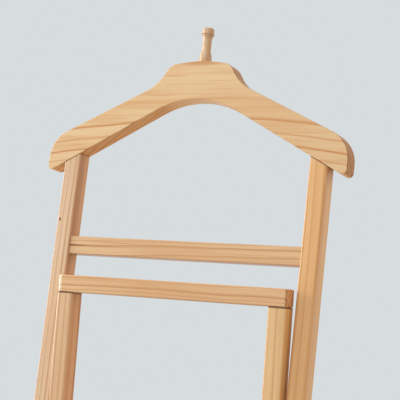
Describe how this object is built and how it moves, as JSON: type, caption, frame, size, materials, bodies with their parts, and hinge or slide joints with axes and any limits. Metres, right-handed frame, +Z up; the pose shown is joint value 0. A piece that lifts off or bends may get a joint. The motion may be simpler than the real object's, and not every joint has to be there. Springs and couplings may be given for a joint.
{
  "type": "clothes valet chair",
  "caption": "Folding wooden chair with a tall leaning back frame headed by a coat hanger and peg, a hinged trouser frame, a slatted seat and crossing rear legs.",
  "frame": {"origin": "on the floor, under the middle of the chair's outline box", "axes": "+X across the chair to a viewer's right, +Y from its front to its back, +Z up"},
  "size_m": [0.4348, 0.4566, 1.1299],
  "materials": {
    "pine": "clear satin lacquer over straight-grained pine",
    "pale_pine": "clear satin lacquer over pale pine",
    "beech": "clear satin lacquer over turned or plain beech",
    "steel": "zinc-plated, satin",
    "white_nylon": "natural nylon",
    "black_nylon": "moulded, matte"
  },
  "bodies": {
    "tall_frame": {"post_left": "pine", "post_right": "pine", "hanger": "pale_pine", "peg": "beech", "crossbar": "pine", "lower_stretcher": "pine", "hanger_dowels": "beech", "crossbar_dowels": "beech", "stretcher_dowels": "beech", "seat_rod": "beech", "seat_spacers": "white_nylon", "stop_pins": "steel", "front_glides": "black_nylon", "leg_bolts": "steel", "leg_washers": "steel", "leg_spacers": "white_nylon", "leg_nut_washers": "steel", "leg_nuts": "steel", "pivot_washers": "steel", "pivot_spacers": "white_nylon"},
    "trouser_frame": {"trouser_post_left": "pine", "trouser_post_right": "pine", "trouser_rail": "pale_pine", "rail_dowels": "beech", "pivot_inserts": "steel", "pivot_bolts": "steel"},
    "rear_legs": {"leg_left": "pine", "leg_right": "pine", "support_bar": "beech", "bar_screws": "steel", "rear_stretcher": "pine", "rear_stretcher_screws": "steel", "rear_glides": "black_nylon"},
    "seat": {"seat_rail_left": "pine", "seat_rail_right": "pine", "slat_1": "pale_pine", "slat_2": "pale_pine", "slat_3": "pale_pine", "slat_4": "pale_pine", "slat_5": "pale_pine", "slat_6": "pale_pine", "slat_7": "pale_pine", "slat_screws": "steel", "cleat_left": "beech", "cleat_right": "beech", "cleat_screws": "steel"}
  },
  "joints": [
    {"name": "legs_fold", "type": "hinge", "parent": "tall_frame", "child": "rear_legs", "pos_m": [0, -0.05706, 0.29303], "axis": [-1, 0, 0], "range_deg": [0, 56]},
    {"name": "seat_fold", "type": "hinge", "parent": "tall_frame", "child": "seat", "pos_m": [0, -0.02331, 0.42839], "axis": [-1, 0, 0], "range_deg": [0, 104]},
    {"name": "trouser_fold", "type": "hinge", "parent": "tall_frame", "child": "trouser_frame", "pos_m": [0, 0.00802, 0.55404], "axis": [1, 0, 0], "range_deg": [0, 85]}
  ],
  "couplings": [
    {"joint": "seat_fold", "follows": "legs_fold", "ratio": 1.8571}
  ]
}
